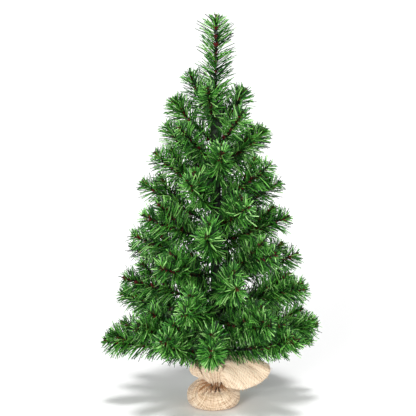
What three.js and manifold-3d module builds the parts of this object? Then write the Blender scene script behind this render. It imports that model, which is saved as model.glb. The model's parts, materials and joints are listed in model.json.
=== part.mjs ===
// Artificial tabletop tree: brush branches of PVC film held in twisted wire, bound round a steel pole
// that stands in a cement weight wrapped in burlap.
// Millimetres, +Z up, front towards -Y, origin under the pole at the centre of the flat underside.

import * as THREE from 'three';
import { mergeVertices } from 'three/addons/utils/BufferGeometryUtils.js';
import Module from 'manifold-3d';

const wasm = await Module();
wasm.setup();

// ---- Driving dimensions ----

const TREE_HEIGHT = 610;
const GAP = 0.35; // between pieces that touch on the real tree

// Crown: how far the brush tips reach from the trunk at a height
const CROWN_RADIUS = 158;
const CROWN_BOTTOM = 100;
const CROWN_VANISHES = 560;
const CROWN_POWER = 0.575;
const FULLER_ON_LEFT = 0.07;
const LENGTH_WAVE = 0.05;

// Branches, numbered from the lowest up a golden-angle spiral
const BRANCH_COUNT = 50;
const FIRST_BEARING = 16;
const GOLDEN_ANGLE = 137.508;
const LOWEST_TIP = 90;
const HIGHEST_TIP = 516;
const CROWDING = 2; // the lowest branches are set twice as close as the top ones

// A branch: wire, brush and side tips, as shares of its length and degrees from its main tip
const STEM_RADIUS = 1.5;
const BRUSH_RADIUS = 2.9;
const TIP_RADIUS = 1.3;
const BRUSH_STARTS = 0.24;
const BOW = 0.03; // sag of the wire below its chord, so that the tip turns up
const SIDE_TIPS = [
  { at: 0.4, spread: 25, length: 0.5, onLowest: 43 },
  { at: 0.62, spread: 14, length: 0.36, onLowest: 17 },
];
const WIRE_SIDES = 5;

// Root eye: the turn of wire that each branch bends at
const EYE_RADIUS = 2.2;
const EYE_LENGTH = 4.4;
const EYE_SIDES = 10;
const HINGE_RADIUS = 7; // from the trunk's axis

// Trunk
const POLE_RADIUS = 2.5;
const POLE_BOTTOM = 9;
const POLE_TOP = 466;
const TAPE_RADIUS = 7.9;
const TAPE_BOTTOM = 64;
const TAPE_TOP = 473;
const POCKET_FLOOR = 4.4;
const POCKET_WIDTH = 5.3;
const POCKET_BELOW = 4.2;
const POCKET_ABOVE = 8;
const LEADER_HINGE_HEIGHT = 470;
const LEADER_SOCKET_RADIUS = 4.4;

// Base
const BALL_RADIUS = 40;
const SHOULDER_HEIGHT = 28;
const CLOTH = 1.6; // the burlap's folds, taken as one layer
const CUP_WALL = 0.8;
const CUP_RADIUS = 33.5;
const CUP_HEIGHT = 18;
const NECK_RADIUS = 11.5;
const NECK_HEIGHT = 37.5;
const TIE_RADIUS = 1.6;
const RUFF_RADIUS = 31;
const RUFF_TOP = 62;

// Branches that were bent or pulled out further when the tree was shaped:
// turn round the trunk in degrees, stretch of the length, lift in degrees
const SHAPED_BY_HAND = new Map([
  [1, { turn: 2, stretch: 1.06, lift: 17 }],
  [3, { turn: 0, stretch: 1, lift: 8 }],
  [4, { turn: 0, stretch: 1.07, lift: -2 }],
  [6, { turn: -4, stretch: 0.98, lift: 0 }],
  [7, { turn: 6, stretch: 1.08, lift: 0 }],
  [8, { turn: 0, stretch: 1.05, lift: -3 }],
  [12, { turn: 0, stretch: 1.03, lift: 0 }],
  [16, { turn: 1, stretch: 1.08, lift: 2 }],
  [17, { turn: 0, stretch: 1.06, lift: 4 }],
  [20, { turn: 4, stretch: 1.14, lift: 3 }],
  [25, { turn: 0, stretch: 1.02, lift: 0 }],
  [27, { turn: 0, stretch: 1, lift: 5 }],
  [28, { turn: 5, stretch: 1.1, lift: 0 }],
  [30, { turn: 0, stretch: 1.1, lift: 0 }],
  [33, { turn: 4, stretch: 1.14, lift: 2 }],
  [34, { turn: 0, stretch: 1.03, lift: -3 }],
  [35, { turn: 0, stretch: 1, lift: 6 }],
  [37, { turn: 0, stretch: 1.08, lift: 4 }],
  [38, { turn: 0, stretch: 1.08, lift: 6 }],
  [41, { turn: 10, stretch: 1.22, lift: 6 }],
  [46, { turn: 0, stretch: 1.1, lift: 0 }],
  [49, { turn: 20, stretch: 1.28, lift: 0 }],
]);
const AS_MADE = { turn: 0, stretch: 1, lift: 0 };

// ---- Helpers ----

const radians = THREE.MathUtils.degToRad;
const HINGE_AXIS = new THREE.Vector3(0, 1, 0);

/** A closed geometry as a manifold-3d solid. */
function solidOf(geometry) {
  const bare = geometry.clone();
  bare.deleteAttribute('normal');
  bare.deleteAttribute('uv');
  const merged = mergeVertices(bare, 1e-4);
  return new wasm.Manifold(new wasm.Mesh({
    numProp: 3,
    vertProperties: new Float32Array(merged.attributes.position.array),
    triVerts: new Uint32Array(merged.index.array),
  }));
}

/** A manifold-3d solid as a geometry. */
function geometryOf(solid) {
  const mesh = solid.getMesh();
  const geometry = new THREE.BufferGeometry();
  geometry.setAttribute('position', new THREE.BufferAttribute(mesh.vertProperties, 3));
  geometry.setIndex(new THREE.BufferAttribute(mesh.triVerts, 1));
  geometry.computeVertexNormals();
  return geometry;
}

/** A solid of revolution about Z from [radius, height] points, starting and ending on the axis or closed. */
function turned(points, sides) {
  const outline = points.map(([radius, height]) => new THREE.Vector2(radius, height));
  return new THREE.LatheGeometry(outline, sides).rotateX(Math.PI / 2);
}

/** A named mesh with its own material. */
function piece(name, geometry, color, roughness, metalness = 0) {
  const mesh = new THREE.Mesh(geometry, new THREE.MeshStandardMaterial({ color, roughness, metalness }));
  mesh.name = name;
  return mesh;
}

// ---- Branches ----

/** How far a brush tip reaches from the trunk's axis at a height. */
function crownRadius(height) {
  const share = (height - CROWN_BOTTOM) / (CROWN_VANISHES - CROWN_BOTTOM);
  return CROWN_RADIUS * (1 - Math.max(share, -0.15)) ** CROWN_POWER;
}

/** Where a branch's hinge is, which way it points, how steeply it rises and how long it is. */
function branchPlan(number) {
  const upTheTree = number / (BRANCH_COUNT - 1);
  const shaped = SHAPED_BY_HAND.get(number) ?? AS_MADE;
  const climb = (CROWDING ** upTheTree - 1) / (CROWDING - 1);
  const tipHeight = LOWEST_TIP + (HIGHEST_TIP - LOWEST_TIP) * climb;
  const wiredRise = 5 + 22 * upTheTree + 28 * upTheTree ** 4;
  const bearing = FIRST_BEARING - GOLDEN_ANGLE * number + shaped.turn;
  const wave = 1 + LENGTH_WAVE * Math.sin(2.4 * number + 1);
  const lopsided = 1 - FULLER_ON_LEFT * Math.cos(radians(bearing));
  const reach = crownRadius(tipHeight) * wave * lopsided * shaped.stretch - HINGE_RADIUS;
  return {
    bearing,
    hingeHeight: tipHeight - reach * Math.tan(radians(wiredRise)),
    rise: wiredRise + shaped.lift,
    length: reach / Math.cos(radians(wiredRise)),
  };
}

/** A wire with its brush along +X, from the origin, bowed below its chord and turned up by a rise. */
function wireAndBrush(length, brushStarts, rise, bow) {
  const outline = [
    [0, 0],
    [STEM_RADIUS, 0],
    [STEM_RADIUS, length * brushStarts],
    [BRUSH_RADIUS, length * (brushStarts + 0.08)],
    [BRUSH_RADIUS, length * 0.8],
    [TIP_RADIUS, length],
    [0, length],
  ];
  const geometry = turned(outline, WIRE_SIDES).rotateY(Math.PI / 2);
  const points = geometry.attributes.position;
  for (let i = 0; i < points.count; i += 1) {
    const along = points.getX(i) / length;
    points.setZ(i, points.getZ(i) - bow * length * 4 * along * (1 - along));
  }
  return geometry.rotateY(-radians(rise));
}

/** A branch in its own frame: hinge at the origin, pointing along +X. */
function branchSolid(number, plan) {
  const eye = new THREE.CylinderGeometry(EYE_RADIUS, EYE_RADIUS, EYE_LENGTH, EYE_SIDES);
  let branch = solidOf(eye).add(solidOf(wireAndBrush(plan.length, BRUSH_STARTS, plan.rise, BOW)));
  for (const side of SIDE_TIPS.filter(({ onLowest }) => number < onLowest)) {
    const chord = new THREE.Vector3(plan.length * side.at, 0, -BOW * plan.length * 4 * side.at * (1 - side.at));
    const fork = chord.applyAxisAngle(HINGE_AXIS, -radians(plan.rise));
    const tip = wireAndBrush(plan.length * side.length, 0.06, plan.rise + side.spread, 0);
    branch = branch.add(solidOf(tip.translate(fork.x, fork.y, fork.z)));
  }
  return branch;
}

/** The plans of all branches, with their names. */
const branchPlans = Array.from({ length: BRANCH_COUNT }, (_, number) => ({
  name: `branch_${String(number + 1).padStart(2, '0')}`,
  number,
  ...branchPlan(number),
}));

function makeBranches() {
  const group = new THREE.Group();
  for (const plan of branchPlans) {
    const bearing = radians(plan.bearing);
    const mesh = piece(plan.name, geometryOf(branchSolid(plan.number, plan)), 0x2f6b2c, 0.45);
    mesh.position.set(HINGE_RADIUS * Math.cos(bearing), HINGE_RADIUS * Math.sin(bearing), plan.hingeHeight);
    mesh.rotation.z = bearing;
    group.add(mesh);
  }
  return group;
}

// ---- Leader ----

/** The upright top tip: an eye on the trunk's axis, a wire and a long brush. */
function makeLeader() {
  const length = TREE_HEIGHT - LEADER_HINGE_HEIGHT;
  const eye = new THREE.CylinderGeometry(EYE_RADIUS, EYE_RADIUS, EYE_LENGTH, EYE_SIDES);
  const wire = wireAndBrush(length, 0.06, 90, 0);
  const mesh = piece('leader_tip', geometryOf(solidOf(eye).add(solidOf(wire))), 0x2f6b2c, 0.45);
  mesh.position.z = LEADER_HINGE_HEIGHT;
  return mesh;
}

// ---- Trunk ----

function makeTrunk() {
  const group = new THREE.Group();
  const pole = turned([
    [0, POLE_BOTTOM],
    [POLE_RADIUS, POLE_BOTTOM],
    [POLE_RADIUS, POLE_TOP],
    [0, POLE_TOP],
  ], 16);
  group.add(piece('trunk_pole', pole, 0x8a8a86, 0.4, 1));

  const bore = POLE_RADIUS + GAP;
  let tape = solidOf(turned([
    [bore, TAPE_BOTTOM],
    [TAPE_RADIUS, TAPE_BOTTOM],
    [TAPE_RADIUS, TAPE_TOP],
    [bore, TAPE_TOP],
    [bore, TAPE_BOTTOM],
  ], 16));
  const depth = TAPE_RADIUS + 2 - POCKET_FLOOR;
  for (const plan of branchPlans) {
    const pocket = new THREE.BoxGeometry(depth, POCKET_WIDTH, POCKET_BELOW + POCKET_ABOVE);
    pocket.translate(POCKET_FLOOR + depth / 2, 0, plan.hingeHeight + (POCKET_ABOVE - POCKET_BELOW) / 2);
    pocket.rotateZ(radians(plan.bearing));
    tape = tape.subtract(solidOf(pocket));
  }
  const socketFloor = LEADER_HINGE_HEIGHT - EYE_RADIUS - GAP;
  const socket = turned([
    [0, socketFloor],
    [LEADER_SOCKET_RADIUS, socketFloor],
    [LEADER_SOCKET_RADIUS, TAPE_TOP + 1],
    [0, TAPE_TOP + 1],
  ], 16);
  tape = tape.subtract(solidOf(socket));
  group.add(piece('trunk_tape', geometryOf(tape), 0x2c3a22, 0.6));
  return group;
}

// ---- Base ----

/** How much further the ruff's cloth reaches at a bearing: a small lobe on the left, a big flap on the right. */
function ruffStretch(bearing) {
  const flap = Math.exp(-((bearing / 0.62) ** 2));
  const turnedLeft = Math.abs(bearing) - Math.PI;
  const lobe = Math.exp(-((turnedLeft / 0.6) ** 2));
  return { reach: 1 + 1.55 * flap + 0.12 * lobe, drop: 10 * flap - 4 * lobe };
}

/** The burlap: one cloth round the weight, drawn in at the neck and loose above it. */
function makeBurlap() {
  const outline = [
    [TAPE_RADIUS + GAP, NECK_HEIGHT],
    [BALL_RADIUS - 14, NECK_HEIGHT],
    [BALL_RADIUS - 2.2, SHOULDER_HEIGHT - 1.2],
    [BALL_RADIUS - CLOTH, 16],
    [BALL_RADIUS - 7.5, 3.6],
    [BALL_RADIUS - 8.5, CLOTH],
    [0, CLOTH],
    [0, 0],
    [BALL_RADIUS - 8.5, 0],
    [BALL_RADIUS - 4.5, 2.4],
    [BALL_RADIUS, 16],
    [BALL_RADIUS - 0.9, SHOULDER_HEIGHT],
    [BALL_RADIUS - 15, NECK_HEIGHT + 3.4],
    [NECK_RADIUS + 4, NECK_HEIGHT + CLOTH],
    [NECK_RADIUS, NECK_HEIGHT + CLOTH],
    [NECK_RADIUS, NECK_HEIGHT + 6],
    [RUFF_RADIUS * 0.72, RUFF_TOP - 9],
    [RUFF_RADIUS, RUFF_TOP - 2],
    [RUFF_RADIUS - 1, RUFF_TOP],
    [RUFF_RADIUS * 0.62, RUFF_TOP - 9],
    [TAPE_RADIUS + GAP, NECK_HEIGHT + 8],
    [TAPE_RADIUS + GAP, NECK_HEIGHT],
  ];
  const geometry = turned(outline, 24);
  const points = geometry.attributes.position;
  for (let i = 0; i < points.count; i += 1) {
    const radius = Math.hypot(points.getX(i), points.getY(i));
    const height = points.getZ(i);
    if (height > NECK_HEIGHT + 6.5 && radius > NECK_RADIUS) {
      const { reach, drop } = ruffStretch(Math.atan2(points.getY(i), points.getX(i)));
      const outwards = (radius - NECK_RADIUS) / (RUFF_RADIUS - NECK_RADIUS);
      const stretch = 1 + (reach - 1) * outwards;
      points.setXYZ(i, points.getX(i) * stretch, points.getY(i) * stretch, height - drop * outwards);
    }
  }
  return piece('burlap_wrap', geometry, 0xd8bd96, 0.95);
}

function makeBase() {
  const group = new THREE.Group();
  const cupBottom = CLOTH + GAP;
  const cup = turned([
    [0, cupBottom],
    [CUP_RADIUS - 5.5, cupBottom],
    [CUP_RADIUS, cupBottom + CUP_HEIGHT],
    [CUP_RADIUS - CUP_WALL, cupBottom + CUP_HEIGHT],
    [CUP_RADIUS - 5.5 - CUP_WALL, cupBottom + CUP_WALL],
    [0, cupBottom + CUP_WALL],
  ], 24);
  group.add(piece('casting_cup', cup, 0x30302e, 0.5));

  const cementBottom = cupBottom + CUP_WALL + GAP;
  const cementTop = cupBottom + CUP_HEIGHT + 1;
  const socket = POLE_RADIUS + GAP;
  const cement = turned([
    [0, cementBottom],
    [CUP_RADIUS - 7.5 - CUP_WALL, cementBottom],
    [CUP_RADIUS - 1.6 - CUP_WALL, cementTop - 3],
    [CUP_RADIUS - 5, cementTop],
    [socket, cementTop + 1.4],
    [socket, POLE_BOTTOM - GAP],
    [0, POLE_BOTTOM - GAP],
  ], 24);
  group.add(piece('cement_weight', cement, 0x9a9791, 0.95));

  group.add(makeBurlap());

  const tieCentre = NECK_RADIUS + GAP + TIE_RADIUS;
  const tie = new THREE.TorusGeometry(tieCentre, TIE_RADIUS, 6, 20).translate(0, 0, NECK_HEIGHT + 3.5);
  group.add(piece('neck_tie', tie, 0xb58f5c, 0.95));
  return group;
}

// ---- The tree ----

const tree = new THREE.Group();
tree.add(makeBase());
tree.add(makeTrunk());
tree.add(makeBranches());
tree.add(makeLeader());

export default tree;
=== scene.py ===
"""Artificial tabletop tree: brush tips of cut film, a taped trunk and a burlap base, dressed on its frame."""

import json
import logging
import math
import random
from dataclasses import dataclass
from enum import Enum

import bmesh
import bpy
from mathutils import Matrix, Vector, noise


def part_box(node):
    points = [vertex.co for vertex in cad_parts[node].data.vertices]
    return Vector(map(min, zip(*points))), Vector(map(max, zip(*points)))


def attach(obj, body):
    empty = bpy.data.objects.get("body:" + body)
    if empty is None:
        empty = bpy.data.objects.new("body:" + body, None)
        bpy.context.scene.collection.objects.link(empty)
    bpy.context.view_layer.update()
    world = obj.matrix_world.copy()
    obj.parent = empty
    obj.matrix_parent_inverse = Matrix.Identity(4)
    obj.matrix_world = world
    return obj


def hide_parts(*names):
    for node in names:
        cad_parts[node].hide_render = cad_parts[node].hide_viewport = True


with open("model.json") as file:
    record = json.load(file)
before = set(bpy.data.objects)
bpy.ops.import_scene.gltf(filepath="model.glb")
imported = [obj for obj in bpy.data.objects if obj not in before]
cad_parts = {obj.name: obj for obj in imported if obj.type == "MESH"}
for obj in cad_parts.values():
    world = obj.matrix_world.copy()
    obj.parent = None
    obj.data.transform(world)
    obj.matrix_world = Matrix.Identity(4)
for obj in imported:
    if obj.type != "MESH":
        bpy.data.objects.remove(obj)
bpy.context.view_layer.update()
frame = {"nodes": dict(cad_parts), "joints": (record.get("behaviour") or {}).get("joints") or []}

LOG = logging.getLogger("tabletop_tree")
MM = 0.001
X_AXIS = Vector((1, 0, 0))
Z_AXIS = Vector((0, 0, 1))

Colour = tuple[float, float, float]
Triple = tuple[float, float, float]


# ---- Finishes ----


@dataclass(frozen=True)
class FilmFinish:
    """Thin extruded plastic of one colour all through, as needle film and wire coating are.

    The needles are far finer than any pattern in them, so their variety comes from many shades side by side.
    """

    name: str
    colour: Colour
    roughness: float
    specular: float = 0.32

    def material(self) -> bpy.types.Material:
        """Make the finish's material once.

        Returns:
            The material, shared by every piece that asks for it.
        """
        found = bpy.data.materials.get(self.name)
        if found:
            return found
        nodes = Nodes(self.name)
        nodes.surface(Base_Color=(*self.colour, 1), Roughness=self.roughness)
        nodes.surface(Specular_IOR_Level=self.specular)
        return nodes.material


class Film(Enum):
    """The films cut into the brushes, greens from dark to light, then the strands round the core."""

    # The darkest green is a real film and also every needle's root, painted shade close to the wire.
    BLACK_GREEN = FilmFinish("film_black_green", (0.003, 0.017, 0.004), 0.36)
    DEEP = FilmFinish("film_deep_green", (0.008, 0.050, 0.008), 0.34)
    FOREST = FilmFinish("film_forest_green", (0.018, 0.100, 0.014), 0.33)
    LEAF = FilmFinish("film_leaf_green", (0.036, 0.185, 0.020), 0.32)
    FRESH = FilmFinish("film_fresh_green", (0.075, 0.300, 0.035), 0.32)
    LIGHT = FilmFinish("film_light_green", (0.165, 0.480, 0.075), 0.3)
    # The palest green is a real light film, mixed a little whiter for a painted glint of the needles'
    # highlights.
    PALE = FilmFinish("film_pale_green", (0.360, 0.700, 0.210), 0.3)
    BROWN = FilmFinish("film_red_brown", (0.075, 0.006, 0.006), 0.5)
    RUST = FilmFinish("film_rust", (0.200, 0.016, 0.019), 0.5)
    WIRE = FilmFinish("wire_coating", (0.006, 0.020, 0.006), 0.5)


FILMS = list(Film)
GREENS = FILMS[: FILMS.index(Film.BROWN)]
WIRE_INDEX = FILMS.index(Film.WIRE)


class Nodes:
    """A small hand for wiring one material's nodes."""

    def __init__(self, name: str) -> None:
        """Start a material.

        Args:
            name: The material's name.
        """
        self.material = bpy.data.materials.new(name)
        self.material.use_nodes = True
        self.tree = self.material.node_tree
        self.shader = self.tree.nodes["Principled BSDF"]

    def surface(self, **values: object) -> None:
        """Set the shader's plain values, an underscore standing for a space in an input's name."""
        for name, value in values.items():
            self.shader.inputs[name.replace("_", " ")].default_value = value

    def paint(self, factor: bpy.types.NodeSocket, stops: list[tuple[float, Colour]]) -> None:
        """Colour the shader by a ramp.

        Args:
            factor: The value read.
            stops: Places from 0 to 1 with their colours.
        """
        node = self.add("ValToRGB")
        bar = node.color_ramp
        while len(bar.elements) < len(stops):
            bar.elements.new(0.5)
        for element, (place, colour) in zip(bar.elements, stops):
            element.position = place
            element.color = (*colour, 1)
        self.link(factor, node.inputs["Fac"])
        self.link(node.outputs["Color"], self.shader.inputs["Base Color"])

    def add(self, kind: str, **settings: object) -> bpy.types.Node:
        """Add a node.

        Args:
            kind: The node's type without its ShaderNode prefix.
            **settings: Properties set on the node.

        Returns:
            The node.
        """
        node = self.tree.nodes.new("ShaderNode" + kind)
        for name, value in settings.items():
            setattr(node, name, value)
        return node

    def link(self, source: bpy.types.NodeSocket, target: bpy.types.NodeSocket) -> None:
        """Link one socket to another."""
        self.tree.links.new(source, target)

    def coordinates(self, kind: str, scale: Triple) -> bpy.types.NodeSocket:
        """Texture coordinates stretched by a scale.

        Args:
            kind: "Object" or "UV".
            scale: Repeats per metre along each axis.

        Returns:
            The vector socket.
        """
        source = self.add("TexCoord")
        mapping = self.add("Mapping")
        mapping.inputs["Scale"].default_value = scale
        self.link(source.outputs[kind], mapping.inputs["Vector"])
        return mapping.outputs["Vector"]

    def noise(self, vector: bpy.types.NodeSocket, scale: float, detail: float = 3) -> bpy.types.NodeSocket:
        """Noise from 0 to 1.

        Args:
            vector: Where it is read.
            scale: Its fineness.
            detail: Its octaves.

        Returns:
            The factor socket.
        """
        node = self.add("TexNoise")
        node.inputs["Scale"].default_value = scale
        node.inputs["Detail"].default_value = detail
        self.link(vector, node.inputs["Vector"])
        return node.outputs["Fac"]

    def maths(self, operation: str, first: object, second: object = 0.0) -> bpy.types.NodeSocket:
        """A sum of two sockets or numbers.

        Args:
            operation: The Math node's operation.
            first: A socket or a number.
            second: A socket or a number.

        Returns:
            The value socket.
        """
        node = self.add("Math", operation=operation)
        for socket, value in zip(node.inputs, (first, second)):
            if isinstance(value, bpy.types.NodeSocket):
                self.link(value, socket)
            else:
                socket.default_value = value
        return node.outputs["Value"]

    def bump(self, height: bpy.types.NodeSocket, strength: float, distance: float) -> None:
        """Give the shader a bump.

        Args:
            height: The height read.
            strength: From 0 to 1.
            distance: The full height, in metres.
        """
        node = self.add("Bump")
        node.inputs["Strength"].default_value = strength
        node.inputs["Distance"].default_value = distance
        self.link(height, node.inputs["Height"])
        self.link(node.outputs["Normal"], self.shader.inputs["Normal"])


@dataclass(frozen=True)
class BurlapFinish:
    """Open plain weave of coarse jute, read from the cloth's own flat coordinates."""

    thread_pitch: float = 1.45 * MM
    thread_sway: float = 1.2 * MM
    thread_relief: float = 0.7 * MM
    # How far the painted shade held in the fold_shade attribute darkens the cloth.
    fold_darkening: float = 0.56
    pale: Colour = (0.98, 0.84, 0.66)
    tan: Colour = (0.84, 0.60, 0.39)
    # The dark end of the ramp: painted shade in the gaps between threads and in the folds.
    shade: Colour = (0.30, 0.14, 0.055)

    def material(self) -> bpy.types.Material:
        """Make the woven material, its threads in relief and each with its own tone, with painted shade in
        the gaps between threads and in the folds.

        Returns:
            The material.
        """
        nodes = Nodes("jute_burlap")
        flat = nodes.coordinates("UV", (1, 1, 1))
        wobble = nodes.add("TexNoise")
        wobble.inputs["Scale"].default_value = 60
        nodes.link(flat, wobble.inputs["Vector"])
        bend = nodes.add("VectorMath", operation="SCALE")
        bend.inputs["Scale"].default_value = self.thread_sway
        nodes.link(wobble.outputs["Color"], bend.inputs[0])
        place = nodes.add("VectorMath", operation="ADD")
        nodes.link(flat, place.inputs[0])
        nodes.link(bend.outputs["Vector"], place.inputs[1])
        split = nodes.add("SeparateXYZ")
        nodes.link(place.outputs["Vector"], split.inputs["Vector"])
        turns = math.pi / self.thread_pitch
        warp = nodes.maths("COSINE", nodes.maths("MULTIPLY", split.outputs["X"], turns))
        weft = nodes.maths("COSINE", nodes.maths("MULTIPLY", split.outputs["Y"], turns))
        lift = nodes.maths("MULTIPLY", nodes.maths("MULTIPLY", warp, weft), 0.3)
        warp_top = nodes.maths("MULTIPLY", nodes.maths("ABSOLUTE", warp), nodes.maths("ADD", lift, 0.7))
        weft_top = nodes.maths("MULTIPLY", nodes.maths("ABSOLUTE", weft), nodes.maths("SUBTRACT", 0.7, lift))
        over = nodes.maths("MAXIMUM", warp_top, weft_top)
        slub = nodes.noise(flat, 340, 4)
        patches = nodes.noise(flat, 30, 3)
        fineness = 0.9 / self.thread_pitch
        across = nodes.noise(nodes.coordinates("UV", (1, 0.06, 1)), fineness, 2)
        along = nodes.noise(nodes.coordinates("UV", (0.06, 1, 1)), fineness, 2)
        streaks = nodes.maths("SUBTRACT", nodes.maths("ADD", across, along), 1.0)
        height = nodes.maths("ADD", over, nodes.maths("MULTIPLY", slub, 0.5))
        # The gaps between the threads fall towards the shade colour: painted shade seen through the open
        # weave.
        tone = nodes.maths("ADD", nodes.maths("MULTIPLY", over, 0.55), nodes.maths("MULTIPLY", slub, 0.4))
        tone = nodes.maths("ADD", tone, nodes.maths("MULTIPLY", patches, 0.2))
        tone = nodes.maths("ADD", tone, nodes.maths("MULTIPLY", streaks, 0.6))
        # The fold_shade attribute is painted shade: it darkens the creases, the ring round the tie and, a
        # little, the whole ball.
        painted_shade = nodes.add("Attribute", attribute_name="fold_shade").outputs["Fac"]
        tone = nodes.maths("SUBTRACT", tone, nodes.maths("MULTIPLY", painted_shade, self.fold_darkening))
        nodes.paint(tone, [(0.32, self.shade), (0.57, self.tan), (0.71, self.pale)])
        nodes.surface(Roughness=0.92, Specular_IOR_Level=0.18, Sheen_Weight=0.25)
        nodes.bump(height, 0.75, self.thread_relief)
        return nodes.material


@dataclass(frozen=True)
class TwineFinish:
    """Spun jute twine with loose fibres."""

    name: str = "jute_twine"
    light: Colour = (0.52, 0.34, 0.17)
    dark: Colour = (0.20, 0.11, 0.05)

    def material(self) -> bpy.types.Material:
        """Make the twine's material.

        Returns:
            The material.
        """
        nodes = Nodes(self.name)
        here = nodes.coordinates("Object", (1, 1, 3))
        fibres = nodes.noise(here, 1400, 4)
        nodes.paint(fibres, [(0.3, self.dark), (0.7, self.light)])
        nodes.surface(Roughness=0.95)
        nodes.bump(fibres, 0.6, 0.25 * MM)
        return nodes.material


@dataclass(frozen=True)
class TapeFinish:
    """Crinkled floral tape, dull and slightly waxy, darker where it is rubbed."""

    light: Colour = (0.012, 0.030, 0.008)
    dark: Colour = (0.004, 0.012, 0.003)

    def material(self) -> bpy.types.Material:
        """Make the tape's material.

        Returns:
            The material.
        """
        nodes = Nodes("floral_tape")
        crinkle = nodes.noise(nodes.coordinates("Object", (1, 1, 5)), 320, 4)
        patches = nodes.noise(nodes.coordinates("Object", (1, 1, 1)), 45, 2)
        tone = nodes.maths("MULTIPLY", nodes.maths("ADD", crinkle, patches), 0.5)
        nodes.paint(tone, [(0.35, self.dark), (0.65, self.light)])
        rough = nodes.maths("ADD", nodes.maths("MULTIPLY", crinkle, 0.3), 0.45)
        nodes.link(rough, nodes.shader.inputs["Roughness"])
        nodes.bump(crinkle, 0.5, 0.3 * MM)
        return nodes.material


@dataclass(frozen=True)
class SpeckledFinish:
    """A cast or drawn material with a fine grain: cement, plain steel or moulded plastic."""

    name: str
    light: Colour
    dark: Colour
    roughness: float
    metallic: float = 0.0
    grain: float = 400.0
    relief: float = 0.1 * MM
    stretch: Triple = (1, 1, 1)

    def material(self) -> bpy.types.Material:
        """Make the finish's material.

        Returns:
            The material.
        """
        nodes = Nodes(self.name)
        here = nodes.coordinates("Object", self.stretch)
        grain = nodes.noise(here, self.grain, 5)
        clouds = nodes.noise(here, self.grain / 12, 2)
        tone = nodes.maths("MULTIPLY", nodes.maths("ADD", grain, clouds), 0.5)
        nodes.paint(tone, [(0.35, self.dark), (0.62, self.light)])
        spread = nodes.maths("MULTIPLY", nodes.maths("SUBTRACT", grain, 0.5), 0.3)
        nodes.link(nodes.maths("ADD", spread, self.roughness), nodes.shader.inputs["Roughness"])
        nodes.surface(Metallic=self.metallic)
        nodes.bump(grain, 0.5, self.relief)
        return nodes.material


CEMENT = SpeckledFinish(
    "cast_cement", (0.52, 0.50, 0.46), (0.27, 0.26, 0.24), 0.9, grain=520, relief=0.4 * MM,
)
CUP_PLASTIC = SpeckledFinish("cup_plastic", (0.045, 0.045, 0.047), (0.02, 0.02, 0.021), 0.42, grain=900)
POLE_STEEL = SpeckledFinish(
    "drawn_steel", (0.50, 0.49, 0.47), (0.22, 0.20, 0.18), 0.42, 1.0, 700, 0.05 * MM, (1, 1, 0.04),
)
BURLAP_THREAD = TwineFinish("burlap_thread", (0.80, 0.62, 0.42), (0.52, 0.34, 0.19))


# ---- Meshes and pieces ----


def made_mesh(name: str, bm: bmesh.types.BMesh) -> bpy.types.Mesh:
    """Turn a bmesh into a mesh.

    Args:
        name: The mesh's name.
        bm: The shape, freed here.

    Returns:
        The mesh.
    """
    mesh = bpy.data.meshes.new(name)
    bm.to_mesh(mesh)
    bm.free()
    return mesh


def stamp(bm: bmesh.types.BMesh, mesh: bpy.types.Mesh, where: Matrix) -> None:
    """Add a copy of a mesh to a bmesh.

    Args:
        bm: The shape added to.
        mesh: The mesh, left as it was.
        where: The copy's placing matrix.
    """
    mesh.transform(where)
    bm.from_mesh(mesh)
    mesh.transform(where.inverted())


def discard(meshes: list[bpy.types.Mesh]) -> None:
    """Throw meshes away that were only stamps."""
    for mesh in meshes:
        bpy.data.meshes.remove(mesh)


def film_materials() -> list[bpy.types.Material]:
    """The materials of all the films, in the order of their indices."""
    return [film.value.material() for film in FILMS]


def finished_piece(
    name: str, bm: bmesh.types.BMesh, body: str, materials: list[bpy.types.Material],
) -> bpy.types.Object:
    """Turn a bmesh into a piece that rides on a body.

    Args:
        name: The piece's name.
        bm: Its mesh, freed here.
        body: The body it moves with.
        materials: Its material slots in order.

    Returns:
        The object.
    """
    mesh = made_mesh(name, bm)
    for material in materials:
        mesh.materials.append(material)
    piece = bpy.data.objects.new(name, mesh)
    bpy.context.scene.collection.objects.link(piece)
    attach(piece, body)
    LOG.info("%s: %d faces on %s", name, len(mesh.polygons), body)
    return piece


def basis(along: Vector, around: float, origin: Vector) -> Matrix:
    """A placing matrix whose X points along a direction, turned round it.

    Args:
        along: The direction of the new X axis.
        around: The turn round it, in radians.
        origin: Where the matrix puts the origin.

    Returns:
        The matrix.
    """
    turn = along.to_track_quat("X", "Z").to_matrix().to_4x4()
    return Matrix.Translation(origin) @ turn @ Matrix.Rotation(around, 4, "X")


def smooth(value: float, low: float, high: float) -> float:
    """0 below low, 1 above high, and a smooth step between."""
    part = min(max((value - low) / (high - low), 0.0), 1.0)
    return part * part * (3 - 2 * part)


def curve_through(four: list[Vector], part: float) -> Vector:
    """A point on a smooth curve through four.

    Args:
        four: The points in order.
        part: From 0 at the second to 1 at the third.

    Returns:
        The point.
    """
    before, start, end, after = four
    slope_in, slope_out = (end - before) / 2, (after - start) / 2
    first = start * (2 * part ** 3 - 3 * part ** 2 + 1) + slope_in * (part ** 3 - 2 * part ** 2 + part)
    return first + end * (3 * part ** 2 - 2 * part ** 3) + slope_out * (part ** 3 - part ** 2)


def along_line(places: tuple[tuple[float, float], ...], share: float) -> Vector:
    """A point on a smooth curve through flat places.

    Args:
        places: The places in order.
        share: From 0 at the first to 1 at the last.

    Returns:
        The point, flat.
    """
    at = min(int(share * (len(places) - 1)), len(places) - 2)
    four = [Vector(places[min(max(at + step, 0), len(places) - 1)]) for step in (-1, 0, 1, 2)]
    return curve_through(four, share * (len(places) - 1) - at)


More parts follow.
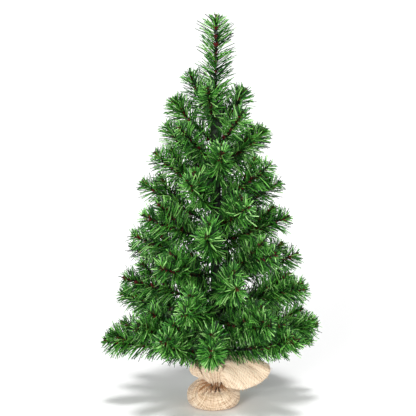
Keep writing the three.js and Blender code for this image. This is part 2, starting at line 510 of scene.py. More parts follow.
def wound_pair(
    radius: float, apart: float, segments: int, length: float, turns: float, steps: int, closed: bool,
) -> bmesh.types.BMesh:
    """Two round strands wound about each other along +X from the origin.

    Args:
        radius: Each strand's radius.
        apart: How far each strand's middle is from the axis.
        segments: Sides of a strand.
        length: How far the pair goes along X.
        turns: How often the strands go round each other.
        steps: Sections along the pair.
        closed: Whether the ends are closed.

    Returns:
        The pair.
    """
    pair = bmesh.new()
    for side in (0, math.pi):
        place = Matrix.Rotation(side, 4, "X") @ Matrix.Translation((0, apart, 0))
        ring = bmesh.ops.create_circle(
            pair, cap_ends=closed, segments=segments, radius=radius,
            matrix=place @ Matrix.Rotation(math.pi / 2, 4, "Y"),
        )["verts"]
        caps = list({f for v in ring for f in v.link_faces})
        edges = list({e for v in ring for e in v.link_edges})
        bmesh.ops.spin(
            pair, geom=ring + edges + caps, cent=(0, 0, 0), axis=X_AXIS, angle=turns * 2 * math.pi,
            dvec=X_AXIS * (length / steps), steps=steps, use_duplicate=False,
        )
    return pair


def smoothed(bm: bmesh.types.BMesh) -> None:
    """Point all faces outwards and shade them smoothly."""
    bmesh.ops.recalc_face_normals(bm, faces=bm.faces[:])
    for face in bm.faces:
        face.smooth = True


@dataclass
class Strand:
    """One strip of cut film, folded slightly along its middle, lying along +X from the origin."""

    length: float
    width: float
    thickness: float
    curl: float
    joints: tuple[float, ...] = (0.15, 0.55, 1.0)
    taper: float = 0.82
    half_width: float = 0.58

    def mesh(self, name: str) -> bpy.types.Mesh:
        """Model the strip.

        Args:
            name: The mesh's name.

        Returns:
            A closed mesh of one strip.
        """
        bm = bmesh.new()
        stretch = bm.faces.layers.int.new("stretch")
        made = bmesh.ops.create_circle(bm, cap_ends=True, segments=3, radius=1)
        bmesh.ops.scale(bm, vec=(self.thickness, self.width * self.half_width, 1), verts=made["verts"])
        bmesh.ops.rotate(bm, matrix=Matrix.Rotation(math.pi / 2, 3, "Y"), verts=made["verts"])
        end = bm.faces[:]
        reached = 0.0
        for number, joint in enumerate(self.joints):
            sides = set(bm.faces) - set(end)
            grown = bmesh.ops.extrude_face_region(bm, geom=end)["geom"]
            ring = [v for v in grown if isinstance(v, bmesh.types.BMVert)]
            end = [f for f in grown if isinstance(f, bmesh.types.BMFace)]
            bend = Matrix.Rotation(self.curl * joint, 3, "Y")
            bmesh.ops.translate(bm, vec=bend @ X_AXIS * (self.length * (joint - reached)), verts=ring)
            for face in set(bm.faces) - sides:
                face[stretch] = number
            reached = joint
        centre = sum((v.co for v in ring), Vector()) / len(ring)
        bmesh.ops.scale(bm, vec=(self.taper,) * 3, space=Matrix.Translation(-centre), verts=ring)
        bmesh.ops.recalc_face_normals(bm, faces=bm.faces[:])
        return made_mesh(name, bm)


@dataclass
class Tuft:
    """A snippet of film cut into a few strips, held side by side, lying along +X from the origin."""

    strands: list[bpy.types.Mesh]
    lean: float
    spacing: float
    spread: float

    def mesh(self, name: str, rng: random.Random) -> bpy.types.Mesh:
        """Lay the strips beside each other along the wire.

        Args:
            name: The mesh's name.
            rng: Random draws for the strips' places.

        Returns:
            One mesh of all the strips, with each face's strip and stretch as attributes.
        """
        bm = bmesh.new()
        strip_of = bm.faces.layers.int.new("strip")
        wire = Matrix.Rotation(self.lean, 3, "Y") @ X_AXIS
        middle = (len(self.strands) - 1) / 2
        for number, strand in enumerate(self.strands):
            known = len(bm.faces)
            turn = Matrix.Rotation(rng.gauss(0, self.spread), 4, wire)
            turn = turn @ Matrix.Rotation(rng.gauss(0, 0.07), 4, "Y")
            roll = Matrix.Rotation(rng.uniform(-0.9, 0.9), 4, "X")
            roll = roll @ Matrix.Diagonal((rng.uniform(0.85, 1.1), 1, 1, 1))
            offset = Matrix.Translation(wire * self.spacing * (number - middle + rng.uniform(-0.3, 0.3)))
            stamp(bm, strand, offset @ turn @ roll)
            bm.faces.ensure_lookup_table()
            for face in bm.faces[known:]:
                face[strip_of] = number
        return made_mesh(name, bm)


class StrandBox:
    """The cut film ready to be caught in a wire: tufts of long needles and of short core strands."""

    NEEDLE_LENGTH = 29 * MM
    NEEDLE_WIDTH = 1.45 * MM
    CURLS = (-12, -7, -3, 2, 6, 10, 16)
    CORE_LENGTH = 6.0 * MM
    CORE_WIDTH = 1.5 * MM
    CORE_CURL = math.radians(12)
    FILM = 0.5 * MM
    LEAN = math.radians(56)
    NEEDLES_EACH = 3
    CORE_EACH = 3
    KINDS = 16

    def __init__(self) -> None:
        """Cut the film."""
        rng = random.Random(3)
        loose = [
            Strand(self.NEEDLE_LENGTH, self.NEEDLE_WIDTH, self.FILM, math.radians(c)).mesh(f"needle_{c}")
            for c in self.CURLS
        ]
        core = Strand(self.CORE_LENGTH, self.CORE_WIDTH, self.FILM, self.CORE_CURL, (1.0,), 0.8)
        short = core.mesh("core_strand")
        self.needles = []
        for number in range(self.KINDS):
            picked = [rng.choice(loose) for _ in range(self.NEEDLES_EACH)]
            self.needles.append(Tuft(picked, self.LEAN, 2.2 * MM, 0.26).mesh(f"tuft_{number}", rng))
        self.core = [
            Tuft([short] * self.CORE_EACH, self.LEAN, 1.0 * MM, 0.7).mesh(f"core_tuft_{number}", rng)
            for number in range(self.KINDS)
        ]
        discard([*loose, short])
        self.faces_of = {mesh.name: self.strips_and_parts(mesh) for mesh in [*self.needles, *self.core]}

    @staticmethod
    def strips_and_parts(tuft: bpy.types.Mesh) -> list[tuple[int, int]]:
        """Each face's strip, and which part of the strip it is on."""
        strips, parts = (tuft.attributes[name].data for name in ("strip", "stretch"))
        return [(strip.value, part.value) for strip, part in zip(strips, parts)]

    def place(
        self, bm: bmesh.types.BMesh, tuft: bpy.types.Mesh, where: Matrix, shades: list[list[int]],
    ) -> None:
        """Add one tuft to a brush.

        Args:
            bm: The brush's mesh.
            tuft: One of this box's meshes.
            where: Its placing matrix.
            shades: Film indices for each strip's root, middle and tip.
        """
        indices = [shades[strip][part] for strip, part in self.faces_of[tuft.name]]
        tuft.polygons.foreach_set("material_index", indices)
        stamp(bm, tuft, where)

    def clear(self) -> None:
        """Throw the loose tufts away."""
        discard([*self.needles, *self.core])


@dataclass(frozen=True)
class Work:
    """What a brush is made with: the mesh it joins, the cut film and its own random draws."""

    bm: bmesh.types.BMesh
    box: StrandBox
    rng: random.Random


@dataclass
class Brush:
    """A twisted pair of wires with film caught in it, from a root to a tip along a bowed line."""

    root: Vector
    tip: Vector
    bow: float
    bare: float
    reach: float = 1.0
    per_metre: int = 2900
    twist: float = 10 * MM
    scatter: float = 0.5
    flatness: float = 0.5
    flat_turn: float = 0.0
    lean: float = math.radians(56)
    end_lean: float = math.radians(46)
    trimmed: float = 21 * MM

    WIRE_RADIUS = 0.75 * MM
    BASE_CLEARANCE = 76 * MM
    CLEARANCE_SLOPE = 0.2
    SHORTEST_CUT = 0.3
    TIP_LENGTH = 0.24
    CORE_SHARE = 0.42
    END_TUFTS = 6
    GREEN_WEIGHTS = (15, 17, 17, 16, 17, 16, 6)

    @property
    def length(self) -> float:
        """Chord length from root to tip."""
        return (self.tip - self.root).length

    def point(self, share: float) -> Vector:
        """The place on the wire at a share of its length."""
        sag = self.bow * self.length * 4 * share * (1 - share)
        return self.root.lerp(self.tip, share) - self.sideways() * sag

    def sideways(self) -> Vector:
        """The direction across the chord in its upright plane, pointing up."""
        along = (self.tip - self.root).normalized()
        across = along.cross(Z_AXIS)
        return across.cross(along).normalized() if across.length > 1e-6 else Vector((0, 1, 0))

    def heading(self, share: float) -> Vector:
        """The wire's direction at a share of its length."""
        return (self.point(min(share + 0.01, 1)) - self.point(max(share - 0.01, 0))).normalized()

    def wind_wire(self, bm: bmesh.types.BMesh) -> None:
        """Add the two wires, wound straight on their own and then laid along the bowed line.

        Args:
            bm: The brush's mesh.
        """
        turns = self.length / self.twist
        steps = max(6, round(turns * 6))
        pair = wound_pair(self.WIRE_RADIUS, self.WIRE_RADIUS * 0.8, 5, self.length, turns, steps, True)
        for vert in pair.verts:
            share = max(0.0, min(1.0, vert.co.x / self.length))
            vert.co = basis(self.heading(share), 0, self.point(share)) @ Vector((0, vert.co.y, vert.co.z))
        for face in pair.faces:
            face.material_index = WIRE_INDEX
        smoothed(pair)
        wound = made_mesh("wound_pair", pair)
        bm.from_mesh(wound)
        discard([wound])

    def needle_scale(self, share: float) -> float:
        """How long the film is cut at a share of the wire's length, shorter at the trimmed tip."""
        from_end = (1 - share) * self.length / self.trimmed
        trim = self.TIP_LENGTH + (1 - self.TIP_LENGTH) * max(from_end, 0) ** 0.75
        return self.reach * (1 if from_end > 1 else trim)

    def catch_film(self, work: Work) -> None:
        """Add the needles and the short strands round the core.

        Args:
            work: What the brush is made with.
        """
        box, rng = work.box, work.rng
        covered = self.length * (1 - self.bare)
        count = round(covered * self.per_metre / box.NEEDLES_EACH)
        for number in range(count):
            share = self.bare + (1 - self.bare) * min((number + rng.uniform(-0.4, 0.4)) / (count - 1), 1)
            helix = share * self.length / self.twist * 2 * math.pi + math.pi * (number % 2)
            around = helix + rng.gauss(0, self.scatter)
            if abs(math.sin(around - self.flat_turn)) > 0.7 and rng.random() < self.flatness:
                around += math.pi / 2
            end = max(0.0, 1 - (1 - share) * self.length / (self.trimmed * 1.3))
            lean = self.lean + (self.end_lean - self.lean) * end + rng.gauss(0, 0.13)
            scale = self.needle_scale(share) * rng.uniform(0.86, 1.08)
            shades = self.greens(rng, box.NEEDLES_EACH)
            self.lay_tuft(work, rng.choice(box.needles), share, around, lean, scale, shades)
        self.catch_core(work, round(covered * self.per_metre * self.CORE_SHARE / box.CORE_EACH))

    def catch_core(self, work: Work, count: int) -> None:
        """Add the short red-brown strands round the core and the dark ones at its end.

        Args:
            work: What the brush is made with.
            count: How many tufts go along the wire.
        """
        box, rng = work.box, work.rng
        for _ in range(count):
            share = self.bare + (1 - self.bare) * rng.random() ** 0.8
            helix = share * self.length / self.twist * 2 * math.pi + math.pi / 2
            films = [rng.choice((Film.BROWN, Film.RUST, Film.RUST)) for _ in range(box.CORE_EACH)]
            shades = [[FILMS.index(film)] * 3 for film in films]
            lean = math.radians(rng.uniform(42, 75))
            around = helix + rng.gauss(0, 0.3)
            self.lay_tuft(work, rng.choice(box.core), share, around, lean, rng.uniform(0.6, 1.1), shades)
        for number in range(self.END_TUFTS):
            film = rng.choice((Film.BROWN, Film.DEEP, Film.BLACK_GREEN))
            shades = [[FILMS.index(film)] * 3] * box.CORE_EACH
            around, lean = number * 1.3, math.radians(rng.uniform(15, 55))
            self.lay_tuft(work, rng.choice(box.core), 1.0, around, lean, rng.uniform(0.6, 1.0), shades)

    @classmethod
    def greens(cls, rng: random.Random, count: int) -> list[list[int]]:
        """Pick the greens of a tuft's needles.

        Args:
            rng: The brush's own random draws.
            count: How many needles.

        Returns:
            Film indices for each needle's root, middle and tip, the root always the darkest green as painted
            shade close to the wire.
        """
        shades = []
        for middle in rng.choices(range(len(GREENS)), weights=cls.GREEN_WEIGHTS, k=count):
            # Film 0, the darkest green, at every root is painted shade where the needles crowd round the
            # wire.
            shades.append([0, middle, min(middle + rng.choice((0, 0, 1)), len(GREENS) - 1)])
        return shades

    def cut_above_base(self, place: Vector, along: Vector, length: float) -> float:
        """The share of a strip that is left once it is cut to hang clear of the base.

        Args:
            place: Where it leaves the wire.
            along: Its direction.
            length: How long it is, in metres.

        Returns:
            A factor up to 1.
        """
        room = place.z - self.BASE_CLEARANCE - self.CLEARANCE_SLOPE * abs(place.y)
        drop = -along.z * length
        return 1.0 if drop <= room else max(self.SHORTEST_CUT, room / drop)

    def lay_tuft(
        self, work: Work, tuft: bpy.types.Mesh, share: float, around: float, lean: float, scale: float,
        shades: list[list[int]],
    ) -> None:
        """Add one tuft that leaves the wire at an angle.

        Args:
            work: What the brush is made with.
            tuft: Which tuft.
            share: Where it leaves the wire, as a share of the length.
            around: Its direction round the wire, in radians.
            lean: Its angle from the wire's heading, in radians.
            scale: Its length, against the tuft's own.
            shades: Film indices for each strip's root, middle and tip.
        """
        wire = basis(self.heading(share), around, self.point(share))
        tilt = Matrix.Rotation(-lean, 4, "Y")
        along = (wire @ tilt).to_3x3() @ X_AXIS
        scale *= self.cut_above_base(wire.translation, along, scale * work.box.NEEDLE_LENGTH)
        work.box.place(work.bm, tuft, wire @ tilt @ Matrix.Diagonal((scale, 1, 1, 1)), shades)

    def grow(self, work: Work) -> None:
        """Add the whole brush: wires, needles and core strands."""
        self.wind_wire(work.bm)
        self.catch_film(work)


# ---- Sub-assemblies ----


def grow_piece(node: str, stem: str, brushes: list[Brush], box: StrandBox, seed: int) -> None:
    """Grow brushes as one piece that replaces a node.

    Args:
        node: The node.
        stem: What the names of the piece and of its body start with.
        brushes: The brushes.
        box: The cut film.
        seed: Where the piece's own random draws start.
    """
    work = Work(bmesh.new(), box, random.Random(seed))
    for brush in brushes:
        brush.grow(work)
    piece = finished_piece(f"{stem}_brush", work.bm, f"{stem}_body", film_materials())
    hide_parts(node)


@dataclass
class Branch:
    """A bendable branch: a main brush and the side tips that its solid shows."""

    number: int
    hinge: Vector
    outwards: Vector
    box: StrandBox
    bow: float = 0.03
    bare: float = 0.03
    side_tips: tuple[tuple[float, float, float], ...] = ((0.40, 25, 0.50), (0.62, 14, 0.36))
    found_within: float = 4 * MM

    @property
    def name(self) -> str:
        """The branch's CAD node."""
        return f"branch_{self.number:02d}"

    def brushes(self) -> list[Brush]:
        """Find the brushes that lie along the node's solid.

        Returns:
            The main brush and a brush for each side tip that the solid has.
        """
        points = [v.co.copy() for v in frame["nodes"][self.name].data.vertices]
        far = max(points, key=lambda p: (p - self.hinge).length) - self.hinge
        tip = self.hinge + self.outwards * far.dot(self.outwards) + Z_AXIS * far.z
        main = Brush(self.hinge, tip, self.bow, self.bare)
        found = [main]
        chord = tip - self.hinge
        rise = math.atan2(chord.z, chord.dot(self.outwards))
        for at, spread, share in self.side_tips:
            fork = main.point(at)
            angle = rise + math.radians(spread)
            reach = share * chord.length
            end = fork + (self.outwards * math.cos(angle) + Z_AXIS * math.sin(angle)) * reach
            if min((p - end).length for p in points) < self.found_within:
                found.append(Brush(fork, end, 0.0, 0.04))
        return found

    def build(self) -> None:
        """Model the branch as one piece that replaces its node."""
        grow_piece(self.name, self.name, self.brushes(), self.box, 100 + self.number)


@dataclass
class Leader:
    """The upright top tip."""

    box: StrandBox
    node: str = "leader_tip"
    root_above: float = 2 * MM
    tip_below: float = 4 * MM

    @staticmethod
    def facing_front() -> float:
        """The turn round the wire, in radians, at which needles lie in the plane that faces the front."""
        up = basis(Z_AXIS, 0, Vector()).to_3x3() @ Z_AXIS
        return 0.0 if abs(up.x) > abs(up.y) else math.pi / 2

    def build(self) -> None:
        """Model the leader as one piece that replaces its node."""
        low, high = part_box(self.node)
        axis = (low + high) / 2
        root = Vector((axis.x, axis.y, low.z + self.root_above))
        tip = Vector((axis.x, axis.y, high.z - self.tip_below))
        brush = Brush(
            root, tip, 0.0, 0.0, reach=1.08, per_metre=2900, twist=13.5 * MM, scatter=0.42, flatness=0.7,
            flat_turn=self.facing_front(), lean=math.radians(58), end_lean=math.radians(52), trimmed=27 * MM,
        )
        grow_piece(self.node, "leader", [brush], self.box, 7)


@dataclass
class Trunk:
    """The pole and the tape wound round it and the branch roots."""

    tape_width: float = 13 * MM
    tape_thickness: float = 0.25 * MM
    crinkle: float = 0.22 * MM
    overlap: float = 0.72
    step_out: float = 0.25 * MM
    steps_per_turn: int = 20

    def wind_tape(self) -> None:
        """Model the tape as one ribbon wound upwards with each turn lapping the last."""
        low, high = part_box("trunk_tape")
        radius = (high.x - low.x) / 2
        rise = self.tape_width * self.overlap
        turns = (high.z - low.z - self.tape_width) / rise
        steps = round(turns * self.steps_per_turn)
        bm = bmesh.new()
        foot = bm.verts.new((radius - self.step_out * 2, 0, low.z))
        head = bm.verts.new((radius - self.step_out * 0.6, 0, low.z + self.tape_width))
        edge = bm.edges.new((foot, head))
        bmesh.ops.spin(
            bm, geom=[foot, head, edge], cent=(0, 0, 0), axis=Z_AXIS, angle=turns * 2 * math.pi,
            dvec=(0, 0, turns * rise / steps), steps=steps, use_duplicate=False,
        )
        for vert in bm.verts:
            outwards = Vector((vert.co.x, vert.co.y, 0)).normalized()
            vert.co += outwards * noise.noise(vert.co * 260) * self.crinkle
        smoothed(bm)
        bmesh.ops.solidify(bm, geom=bm.faces[:], thickness=self.tape_thickness)
        piece = finished_piece("trunk_tape_wrap", bm, "trunk", [TapeFinish().material()])
        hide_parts("trunk_tape")

    def build(self) -> None:
        """Model the tape and finish the pole."""
        self.wind_tape()
        finish_node("trunk_pole", POLE_STEEL.material())


@dataclass(frozen=True)
class Fold:
    """One direction of the gathered cloth above the tie, in mm."""

    azimuth: float
    crest: Triple
    hem: Triple


@dataclass
class BurlapBase:
    """The square of burlap gathered up round the cement weight, its folds and its four loose corners."""

    cut: float = 186 * MM
    thickness: float = 0.9 * MM
    tie_share: float = 0.66
    tie_from_middle: float = 0.39
    underside: float = 0.6
    lowest: float = 0.5 * MM
    front_dip: float = 12
    back_lift: float = 3
    left_lift: float = 4
    columns: int = 400
    rows: int = 84
    # Painted shade laid evenly on the whole ball below the tie, so that it is a little darker than the loose
    # corners.
    ball_shade: float = 0.16
    first_corner: float = math.radians(-11)
    loose_threads: int = 230
    ball_middle: Vector = Vector((-3.2 * MM, 0, 0))
    tie_middle: Vector = Vector((0.5 * MM, -5.5 * MM, 0))

    THREAD_CURLS = (-50, -20, 15, 45)
    # The ball's outline from under its middle to the tie: radius and height, in mm.
    OUTLINE = (
        (0, 0.6), (14, 0.6), (26, 0.8), (35.3, 2.4), (39.5, 8.0), (40.2, 15.5), (39.5, 22.5), (36.2, 28.5),
        (29.5, 33), (23, 36.5), (16.5, 39), (11.5, 41), (9, 43.5),
    )
    FOLDS = (
        Fold(-57, (8, -17, 43), (13, -20, 38)),
        Fold(-50, (9, -19, 50), (23, -21, 34)),
        Fold(-41, (11, -19, 59), (38, -20, 31)),
        Fold(-32, (14, -17, 67), (54, -19, 34)),
        Fold(-22, (18, -14, 74), (70, -18, 42)),
        Fold(-14, (22, -10, 79), (81, -15, 51)),
        Fold(-9, (24, -5, 81), (85, -11, 60)),
        Fold(-3, (24, 0, 80), (82, -4, 67)),
        Fold(7, (22, 6, 75), (66, 5, 66)),
        Fold(18, (17, 11, 66), (42, 13, 60)),
        Fold(33, (12, 15, 56), (18, 19, 60)),
        Fold(54, (10, 18, 54), (16, 27, 62)),
        Fold(78, (3, 22, 58), (4, 33, 68)),
        Fold(101, (-6, 19, 54), (-11, 27, 63)),
        Fold(123, (-12, 13, 50), (-17, 17, 55)),
        Fold(144, (-26, 9, 51), (-27, 11, 67)),
        Fold(166, (-36, 1, 53), (-31, 2, 73)),
        Fold(188, (-35, -7, 52), (-32, -9, 71)),
        Fold(203, (-26, -11, 50), (-25, -14, 61)),
        Fold(213, (-17, -14, 46), (-20, -17, 53)),
        Fold(228, (-14, -18, 46), (-22, -20, 63)),
        Fold(243, (-11, -22, 50), (-21, -26, 72)),
        Fold(258, (-4, -24, 52), (-8, -30, 76)),
        Fold(273, (2, -22, 51), (5, -27, 74)),
        Fold(290, (6, -18, 47), (10, -21, 66)),
    )
    # Each crease in the ball: direction and width in degrees, depth in mm, and how far up the ball it starts.
    CREASES = (
        (-171, 5, 1.6, 0.62), (-152, 4, 2.0, 0.56), (-140, 6, -2.6, 0.48), (-130, 4, 3.2, 0.44),
        (-121, 6, -2.4, 0.50), (-110, 3, 2.6, 0.64), (-103, 4, -1.6, 0.66), (-95, 4, 5.8, 0.70),
        (-86, 4, -1.6, 0.70), (-78, 3, 3.0, 0.68), (-69, 5, -1.6, 0.64), (-58, 3, 2.6, 0.62),
        (-46, 4, 4.0, 0.66), (-28, 4, 2.0, 0.62), (-12, 6, 1.4, 0.62), (14, 5, 2.4, 0.58), (36, 5, 1.6, 0.60),
        (58, 5, 2.8, 0.56), (77, 4, 1.5, 0.62), (95, 5, 2.6, 0.58), (118, 5, 1.6, 0.60), (137, 4, 2.4, 0.58),
        (160, 5, 1.4, 0.60),
    )

    def square_reach(self, azimuth: float) -> float:
        """How far the flat cloth goes from its middle in a direction, in metres."""
        from_side = (azimuth - self.first_corner) % (math.pi / 2) - math.pi / 4
        return self.cut / 2 / math.cos(from_side)

    def laid_flat(self) -> bmesh.types.BMesh:
        """Lay the cloth flat.

        Returns:
            A round of unit radius, its middle closed.
        """
        bm = bmesh.new()
        ends = [bm.verts.new((0, 0, 0)), bm.verts.new((1, 0, 0))]
        bmesh.ops.subdivide_edges(bm, edges=[bm.edges.new(ends)], cuts=self.rows - 1)
        bmesh.ops.spin(
            bm, geom=bm.verts[:] + bm.edges[:], cent=(0, 0, 0), axis=Z_AXIS, angle=2 * math.pi,
            steps=self.columns, use_merge=True, use_duplicate=False,
        )
        bmesh.ops.remove_doubles(bm, verts=bm.verts[:], dist=1e-5)
        bmesh.ops.recalc_face_normals(bm, faces=bm.faces[:])
        return bm

    def map_cloth(self, bm: bmesh.types.BMesh) -> None:
        """Give the cloth its own flat coordinates, in metres.

        Args:
            bm: The cloth, laid flat.
        """
        layer = bm.loops.layers.uv.new("cloth")
        for face in bm.faces:
            for loop in face.loops:
                flat = loop.vert.co
                azimuth = math.atan2(flat.y, flat.x)
                loop[layer].uv = (flat * self.flat_radius(flat.length, azimuth) / max(flat.length, 1e-9)).xy

    def flat_radius(self, share: float, azimuth: float) -> float:
        """Distance from the cloth's middle once it is laid flat.

        Args:
            share: From 0 at the middle to 1 at the hem.
            azimuth: Direction from the middle, in radians.

        Returns:
            The distance, in metres.
        """
        tie = self.cut * self.tie_from_middle
        if share <= self.tie_share:
            return tie * share / self.tie_share
        along = (share - self.tie_share) / (1 - self.tie_share)
        return tie + (self.square_reach(azimuth) - tie) * along

    def ball(self, azimuth: float, share: float) -> Vector:
        """The cloth round the weight, below the tie.

        Args:
            azimuth: Direction from the middle, in radians.
            share: From 0 under the middle to 1 at the tie.

        Returns:
            The place, in metres.
        """
        radius, height = along_line(self.OUTLINE, share)
        upper = smooth(share, 0.45, 1.0)
        front, left = -math.sin(azimuth), -math.cos(azimuth)
        tilt = self.left_lift * left - self.front_dip * max(front, 0) + self.back_lift * max(-front, 0)
        height += upper * tilt
        round_off = 1 + 0.035 * math.cos(2 * azimuth + 0.6) * smooth(share, 0.2, 0.5) * (1 - upper)
        radius *= round_off
        middle = self.ball_middle.lerp(self.tie_middle, smooth(share, 0.6, 1.0))
        height = max(height, self.underside)
        return middle + Vector((radius * math.cos(azimuth), radius * math.sin(azimuth), height)) * MM

    def crease_depth(self, azimuth: float, share: float) -> float:
        """How deep the gathers sink into the ball.

        Args:
            azimuth: Direction from the middle, in radians.
            share: From 0 under the middle to 1 at the tie.

        Returns:
            The depth, in mm.
        """
        depth = 0.0
        for centre, width, deep, starts in self.CREASES:
            away = math.degrees(azimuth) - centre
            away = (away + 180) % 360 - 180
            spread = width * (1.0 - 0.4 * share)
            depth += 2.4 * deep * smooth(share, starts - 0.06, 0.86) * math.exp(-((away / spread) ** 2))
        ripple = math.sin(azimuth * 23 + 2.2 * math.sin(azimuth * 3)) * 0.8
        return depth * (1 - 0.5 * smooth(share, 0.93, 1.0)) + ripple * smooth(share, 0.6, 0.9)

    def corner(self, azimuth: float, share: float) -> Vector:
        """The cloth above the tie.

        Args:
            azimuth: Direction from the middle, in radians.
            share: From 0 at the tie to 1 at the hem.

        Returns:
            The place, in metres.
        """
        tie = self.ball(azimuth, 1.0)
        crest, hem = (Vector(place) * MM for place in self.fold_at(math.degrees(azimuth)))
        handle = crest * 2 - (tie + hem) / 2
        return tie * (1 - share) ** 2 + handle * 2 * share * (1 - share) + hem * share ** 2

    def fold_at(self, azimuth: float) -> tuple[Vector, Vector]:
        """Crest and hem on a smooth curve through the set folds.

        Args:
            azimuth: Direction from the middle, in degrees.

        Returns:
            The crest and the hem, in mm.
        """
        count = len(self.FOLDS)
        azimuth = (azimuth - self.FOLDS[0].azimuth) % 360 + self.FOLDS[0].azimuth
        at = max(n for n in range(count) if self.FOLDS[n].azimuth <= azimuth)
        four = [self.FOLDS[(at + step) % count] for step in (-1, 0, 1, 2)]
        gap = (four[2].azimuth - four[1].azimuth) % 360
        part = (azimuth - four[1].azimuth) / gap
        crest = curve_through([Vector(fold.crest) for fold in four], part)
        return crest, curve_through([Vector(fold.hem) for fold in four], part)

    def gather(self, bm: bmesh.types.BMesh) -> None:
        """Draw the flat cloth up round the weight and out into its corners, and note where shade is painted
        on it.

        Args:
            bm: The cloth, laid flat.
        """
        shade = bm.verts.layers.float.new("fold_shade")
        shares = {}
        for vert in bm.verts:
            azimuth, share = math.atan2(vert.co.y, vert.co.x), vert.co.length
            shares[vert] = (azimuth, share)
            if share <= self.tie_share:
                vert.co = self.ball(azimuth, share / self.tie_share)
            else:
                vert.co = self.corner(azimuth, (share - self.tie_share) / (1 - self.tie_share))
        bm.normal_update()
        moves = {vert: self.wrinkle(vert.co, *shares[vert]) for vert in bm.verts}
        for vert, move in moves.items():
            vert.co += vert.normal * move
            vert.co.z = max(vert.co.z, self.lowest)
            share = shares[vert][1]
            # Painted shade: the creases and the ring round the tie are darkened, and the whole ball below the
            # tie a little.
            pinch = math.exp(-(((share - self.tie_share) / 0.035) ** 2)) * 0.6
            on_ball = share < self.tie_share
            depth = smooth(-move, 0.6 * MM, 5.5 * MM) * (1.0 if on_ball else 0.6)
            vert[shade] = max(depth, pinch, self.ball_shade if on_ball else 0.0)

    def wrinkle(self, place: Vector, azimuth: float, share: float) -> float:
        """Fine unevenness of the cloth.

        Args:
            place: Where it is, in metres.
            azimuth: Its direction from the middle, in radians.
            share: From 0 at the middle of the cloth to 1 at its hem.

        Returns:
            How far it stands out along its surface's normal, in metres.
        """
        loose = smooth(share, self.tie_share * 0.95, self.tie_share * 1.1)
        seated = smooth(share, 0.28, 0.42)
        fan = math.sin(azimuth * 26 + 3 * math.sin(azimuth * 4) + share * 2) * loose * (1.3 - share)
        soft = noise.noise(place * 55) * (0.5 + 1.3 * loose) * seated
        fine = noise.noise(place * 190) * (0.3 + 0.35 * loose) * seated
        gathers = self.crease_depth(azimuth, min(share / self.tie_share, 1.0)) * (1 - loose)
        return (fan * 3.2 + soft + fine - gathers) * MM

    def fringe(self) -> bpy.types.Object:
        """Model the threads that have come loose along the hem.

        Returns:
            The piece.
        """
        rng = random.Random(31)
        threads = [
            Strand(7 * MM, 0.42 * MM, 0.34 * MM, math.radians(curl), taper=0.5).mesh(f"thread_{curl}")
            for curl in self.THREAD_CURLS
        ]
        bm = bmesh.new()
        for _ in range(self.loose_threads):
            azimuth = rng.uniform(-math.pi, math.pi)
            hem = self.corner(azimuth, 1.0)
            outwards = (hem - self.corner(azimuth, 0.94)).normalized()
            scatter = Vector((rng.gauss(0, 0.35), rng.gauss(0, 0.35), rng.gauss(-0.1, 0.3)))
            strip = rng.choice(threads)
            where = basis((outwards + scatter).normalized(), rng.uniform(0, 6.3), hem - outwards * 1.2 * MM)
            stamp(bm, strip, where @ Matrix.Diagonal((rng.uniform(0.35, 1.0), 1, 1, 1)))
        discard(threads)
        piece = finished_piece("burlap_fringe", bm, "trunk", [BURLAP_THREAD.material()])
        return piece

    def build(self) -> None:
        """Model the cloth and its loose threads."""
        bm = self.laid_flat()
        self.map_cloth(bm)
        self.gather(bm)
        for face in bm.faces:
            face.smooth = True
        piece = finished_piece("burlap_cloth", bm, "trunk", [BurlapFinish().material()])
        wall = piece.modifiers.new("cloth_thickness", "SOLIDIFY")
        wall.thickness = self.thickness
        wall.offset = 0
        fringe = self.fringe()
        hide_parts("burlap_wrap")


@dataclass
class NeckTie:
    """Two-ply jute twine wound round the neck of the cloth."""

    ply: float = 0.85 * MM
    twists: int = 26
    steps: int = 260

    def build(self) -> None:
        """Model the tie as two strands twisted round a ring."""
        low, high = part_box("neck_tie")
        middle = (low + high) / 2
        radius = (high.x - low.x) / 2 - self.ply * 2
        around = 2 * math.pi * radius
        bm = wound_pair(self.ply, self.ply * 0.9, 8, around, self.twists, self.steps, False)
        for vert in bm.verts:
            angle = vert.co.x / radius
            reach = radius + vert.co.y
            vert.co = middle + Vector((reach * math.cos(angle), reach * math.sin(angle), vert.co.z))
        bmesh.ops.remove_doubles(bm, verts=bm.verts[:], dist=0.02 * MM)
        smoothed(bm)
        piece = finished_piece("neck_twine", bm, "trunk", [TwineFinish().material()])
        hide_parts("neck_tie")


def finish_node(node: str, material: bpy.types.Material) -> None:
    """Give a CAD node a better material in every slot.

    Args:
        node: The node's name.
        material: Its finish.
    """
    for slot in frame["nodes"][node].material_slots:
        slot.material = material


@dataclass(frozen=True)
class Lamp:
    """A wide soft light so far off that it falls evenly on the floor.

    It comes from one direction, looks so many degrees wide from the tree, and has a strength.
    """

    name: str
    towards: Triple
    spread: float
    power: float


LAMPS = (
    Lamp("top_light", (0.0, -0.34, 1), 11, 2.1),
    Lamp("key_light", (-0.45, -1.1, 0.42), 20, 1.9),
    Lamp("fill_light", (0.9, -0.9, 0.25), 40, 0.85),
)


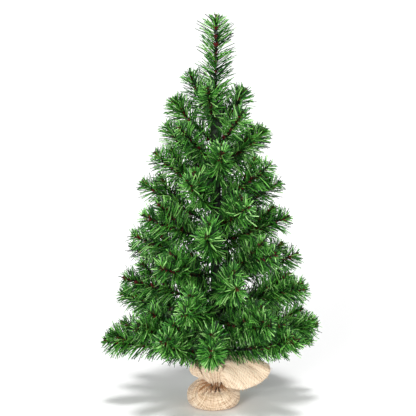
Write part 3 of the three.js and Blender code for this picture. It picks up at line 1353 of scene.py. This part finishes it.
@dataclass
class Studio:
    """A plain pale floor, soft light and the camera."""

    target: Vector = Vector((-12 * MM, 0, 0.3152))
    elevation: float = math.radians(12)
    distance: float = 2.6
    view_height: float = 0.6365
    floor_radius: float = 40
    glow: float = 0.41

    def aim(self, name: str, data: bpy.types.ID, back: Vector, distance: float = 1) -> bpy.types.Object:
        """Add a camera or a light that looks at the target.

        Args:
            name: Its name.
            data: The camera or the light.
            back: Which way it is from the target.
            distance: How many times that vector's length it is away.

        Returns:
            The object.
        """
        made = bpy.data.objects.new(name, data)
        made.location = self.target + back * distance
        made.rotation_euler = (-back).to_track_quat("-Z", "Y").to_euler()
        bpy.context.scene.collection.objects.link(made)
        return made

    def camera(self) -> None:
        """Set the camera in front of the tree, slightly above it."""
        data = bpy.data.cameras.new("view")
        data.lens = data.sensor_width * self.distance / self.view_height
        data.clip_end = 20
        back = Vector((0, -math.cos(self.elevation), math.sin(self.elevation)))
        bpy.context.scene.camera = self.aim("view", data, back, self.distance)

    def floor(self) -> None:
        """Lay a wide floor just under the tree."""
        bm = bmesh.new()
        bmesh.ops.create_circle(bm, cap_ends=True, segments=64, radius=self.floor_radius)
        mesh = made_mesh("floor", bm)
        floor = bpy.data.objects.new("floor", mesh)
        nodes = Nodes("pale_floor")
        nodes.surface(Base_Color=(0.93, 0.93, 0.93, 1), Roughness=0.8)
        mesh.materials.append(nodes.material)
        bpy.context.scene.collection.objects.link(floor)

    def hang(self, lamp: Lamp) -> None:
        """Hang a light.

        Args:
            lamp: Which light.
        """
        data = bpy.data.lights.new(lamp.name, "SUN")
        data.angle = math.radians(lamp.spread)
        data.energy = lamp.power
        self.aim(lamp.name, data, Vector(lamp.towards))

    def build(self) -> None:
        """Make the camera, the floor, the lights and the surrounding glow."""
        self.camera()
        self.floor()
        for lamp in LAMPS:
            self.hang(lamp)
        world = bpy.data.worlds.new("studio")
        world.use_nodes = True
        background = world.node_tree.nodes["Background"]
        background.inputs["Color"].default_value = (1, 1, 1, 1)
        background.inputs["Strength"].default_value = self.glow
        bpy.context.scene.world = world
        bpy.context.scene.view_settings.view_transform = "Standard"


def main() -> None:
    """Build the studio, then the tree from the frame."""
    logging.basicConfig(level=logging.INFO)
    Studio().build()
    Trunk().build()
    finish_node("cement_weight", CEMENT.material())
    finish_node("casting_cup", CUP_PLASTIC.material())
    NeckTie().build()
    BurlapBase().build()
    box = StrandBox()
    for joint in frame["joints"]:
        if joint["child"].startswith("branch_"):
            hinge = Vector(joint["pos_m"])
            outwards = Vector((hinge.x, hinge.y, 0)).normalized()
            number = int(joint["child"].split("_")[1])
            Branch(number, hinge, outwards, box).build()
    Leader(box).build()
    box.clear()
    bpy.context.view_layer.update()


if __name__ == "__main__":
    main()
